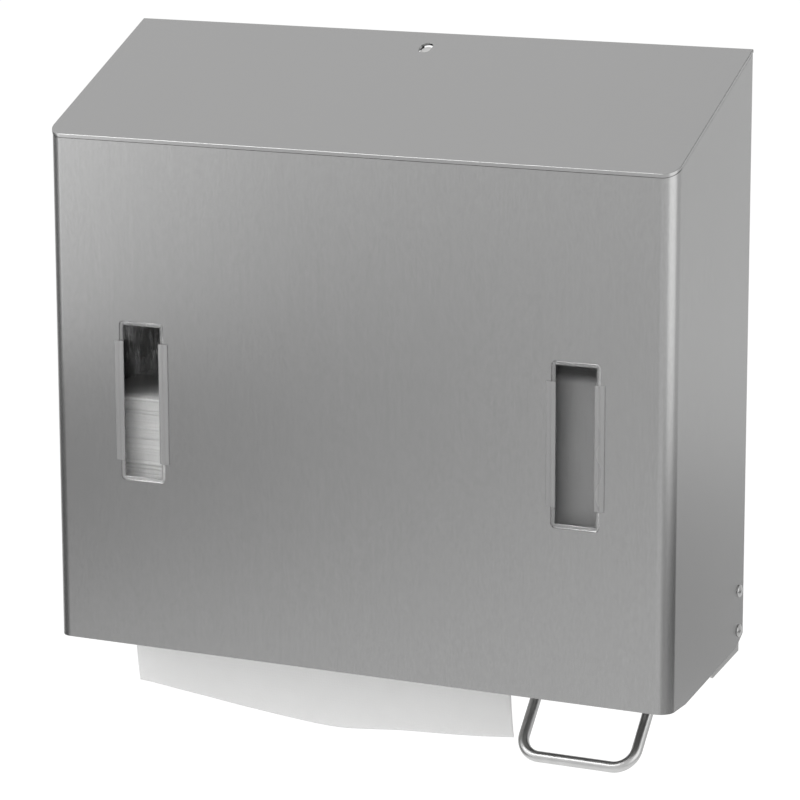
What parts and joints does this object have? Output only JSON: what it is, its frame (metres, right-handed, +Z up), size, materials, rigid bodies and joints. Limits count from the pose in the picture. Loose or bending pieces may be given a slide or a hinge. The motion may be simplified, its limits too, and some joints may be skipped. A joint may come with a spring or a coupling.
{
  "type": "towel and soap dispenser",
  "caption": "Wall-mounted sheet-steel casing with sloping top: folded towels hang from the left, and a wire lever under the right works a soap pump; the cover swings down.",
  "frame": {"origin": "middle of the four wall screws, on the wall plane", "axes": "X to the viewer's right, Y towards the wall, Z up"},
  "size_m": [0.3656, 0.1088, 0.3844],
  "materials": {
    "brushed_casing": "fine vertical brushing, satin",
    "chassis_steel": "mill finish",
    "bright_steel": "polished",
    "spring_steel": "drawn wire",
    "clear_plastic": "clear moulded plastic",
    "paper": "soft white paper",
    "tank_plastic": "translucent grey moulding",
    "dark_plastic": "black moulding",
    "white_plastic": "white moulding",
    "seal_rubber": "soft black"
  },
  "bodies": {
    "chassis": {"back_plate": "chassis_steel", "partition_plate": "chassis_steel", "towel_tray": "chassis_steel", "towel_stack": "paper", "soap_bracket": "chassis_steel", "bracket_screws": "bright_steel", "soap_tank": "tank_plastic", "lid_pin": "bright_steel", "tank_grommet": "seal_rubber", "pump_body": "white_plastic", "pump_cap": "white_plastic", "pump_screws": "bright_steel", "inlet_valve": "seal_rubber", "pump_spring": "spring_steel", "lever_axle": "bright_steel", "axle_clips": "spring_steel", "latch_housing": "dark_plastic", "latch_spring": "spring_steel", "latch_screws": "bright_steel"},
    "cover": {"cover_shell": "brushed_casing", "top_plate": "brushed_casing", "catch_bracket": "chassis_steel", "towel_window": "clear_plastic", "soap_window": "clear_plastic", "hinge_rivets": "bright_steel", "stop_rivets": "bright_steel", "hinge_washers": "white_plastic"},
    "lever": {"lever_bar": "bright_steel", "lever_rocker": "dark_plastic"},
    "piston": {"pump_piston": "white_plastic", "piston_seal": "seal_rubber", "outlet_valve": "seal_rubber"},
    "latch": {"latch_bolt": "white_plastic"},
    "lid": {"tank_lid": "dark_plastic"},
    "towel": {"towel_sheet": "paper"}
  },
  "joints": [
    {"name": "cover_hinge", "type": "hinge", "parent": "chassis", "child": "cover", "pos_m": [0, -0.007, -0.23], "axis": [1, 0, 0], "range_deg": [0, 50]},
    {"name": "lever_pivot", "type": "hinge", "parent": "chassis", "child": "lever", "pos_m": [0.11815, -0.0555, -0.245], "axis": [1, 0, 0], "range_deg": [0, 18], "stiffness_Nm_per_rad": 1, "springref_deg": -11.46},
    {"name": "piston_slide", "type": "slide", "parent": "chassis", "child": "piston", "axis": [0, 0, 1], "range_m": [0, 0.00802], "deforming": ["pump_spring"]},
    {"name": "latch_slide", "type": "slide", "parent": "chassis", "child": "latch", "axis": [0, 0, 1], "range_m": [0, 0.0022], "stiffness_N_per_m": 60, "springref_m": -0.003, "deforming": ["latch_spring"]},
    {"name": "lid_hinge", "type": "hinge", "parent": "chassis", "child": "lid", "pos_m": [0.12685, -0.0185, -0.074], "axis": [-1, 0, 0], "range_deg": [0, 80]},
    {"name": "towel_pull", "type": "slide", "parent": "chassis", "child": "towel", "axis": [0, 0, -1], "range_m": [0, 0.04]}
  ],
  "couplings": [
    {"joint": "piston_slide", "follows": "lever_pivot", "m_per_rad": 0.0255}
  ]
}
